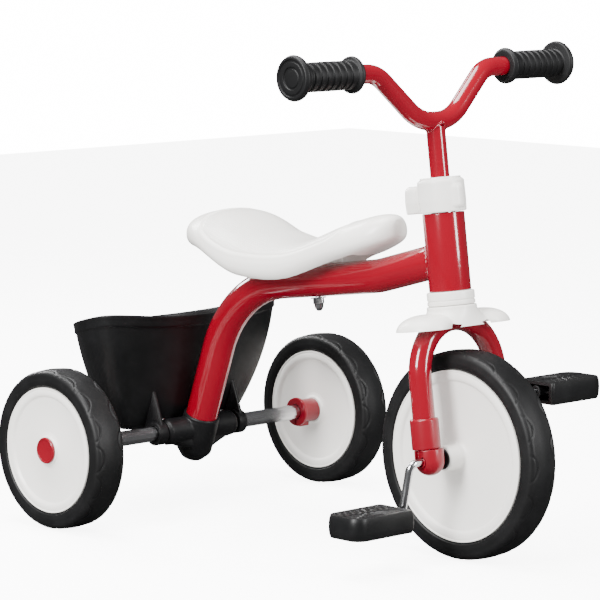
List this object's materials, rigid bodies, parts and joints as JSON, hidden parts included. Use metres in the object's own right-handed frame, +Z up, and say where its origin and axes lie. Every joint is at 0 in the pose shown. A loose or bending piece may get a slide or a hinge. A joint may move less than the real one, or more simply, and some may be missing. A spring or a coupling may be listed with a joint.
{
  "type": "children's tricycle",
  "caption": "Children's tricycle with a pedalled, steered front wheel, a bent frame tube, a saddle-shaped seat, wheels turning on a rear axle and an open carrying basket behind.",
  "frame": {"origin": "middle of the whole tricycle's box, at the ground", "axes": "+X is the way it travels, +Y the rider's left, +Z up"},
  "size_m": [0.6484, 0.4462, 0.5303],
  "materials": {
    "red_paint": "glossy red paint on steel tube",
    "red_plastic": "glossy red moulded plastic",
    "white_plastic": "warm white moulded plastic, satin to gloss",
    "black_plastic": "black moulded plastic, satin",
    "grip_rubber": "soft black grip, matt",
    "tyre_rubber": "black tyre, satin",
    "steel": "bright plated steel"
  },
  "bodies": {
    "frame": {"main_tube": "red_paint", "head_tube": "red_paint", "rear_bracket": "black_plastic", "bracket_screw_left": "steel", "bracket_screw_right": "steel", "rear_axle": "steel", "hub_cap_left": "red_plastic", "hub_cap_right": "red_plastic", "stop_bush_left": "red_plastic", "stop_bush_right": "red_plastic", "basket": "black_plastic", "seat": "white_plastic", "seat_bolt": "steel", "seat_nut": "steel", "lower_bearing_ring": "white_plastic", "upper_bearing_bush": "black_plastic"},
    "steering": {"clamp_collar": "white_plastic", "collar_bolt": "steel", "steerer_tube": "steel", "fork_tube": "red_paint", "crown_cover": "white_plastic", "fork_end_left": "red_plastic", "fork_end_right": "red_plastic", "fork_cap_left": "red_plastic", "fork_cap_right": "red_plastic", "crank_bush_left": "black_plastic", "crank_bush_right": "black_plastic", "handlebar_tube": "red_paint", "stem_tube": "red_paint", "grip_left": "grip_rubber", "grip_right": "grip_rubber"},
    "front_wheel": {"front_tyre": "tyre_rubber", "front_wheel_shell_left": "white_plastic", "front_wheel_shell_right": "white_plastic", "crank": "steel"},
    "left_pedal": {"pedal_left": "black_plastic"},
    "right_pedal": {"pedal_right": "black_plastic"},
    "rear_wheel_left": {"rear_tyre_left": "tyre_rubber", "rear_wheel_outer_shell_left": "white_plastic", "rear_wheel_inner_shell_left": "white_plastic"},
    "rear_wheel_right": {"rear_tyre_right": "tyre_rubber", "rear_wheel_outer_shell_right": "white_plastic", "rear_wheel_inner_shell_right": "white_plastic"}
  },
  "joints": [
    {"name": "steer", "type": "hinge", "parent": "frame", "child": "steering", "pos_m": [0.18858, 0, 0.2793], "axis": [-0.1323, 0, 0.9912], "range_deg": [-45, 45]},
    {"name": "front_wheel_spin", "type": "hinge", "parent": "steering", "child": "front_wheel", "pos_m": [0.2142, 0, 0.11], "axis": [0, 1, 0], "continuous": true},
    {"name": "pedal_left_spin", "type": "hinge", "parent": "front_wheel", "child": "left_pedal", "pos_m": [0.22626, 0.132, 0.16673], "axis": [0, 1, 0], "continuous": true},
    {"name": "pedal_right_spin", "type": "hinge", "parent": "front_wheel", "child": "right_pedal", "pos_m": [0.20214, -0.132, 0.05327], "axis": [0, 1, 0], "continuous": true},
    {"name": "rear_wheel_left_spin", "type": "hinge", "parent": "frame", "child": "rear_wheel_left", "pos_m": [-0.2048, 0.20065, 0.0877], "axis": [0, 1, 0], "continuous": true},
    {"name": "rear_wheel_right_spin", "type": "hinge", "parent": "frame", "child": "rear_wheel_right", "pos_m": [-0.2048, -0.20065, 0.0877], "axis": [0, 1, 0], "continuous": true}
  ]
}
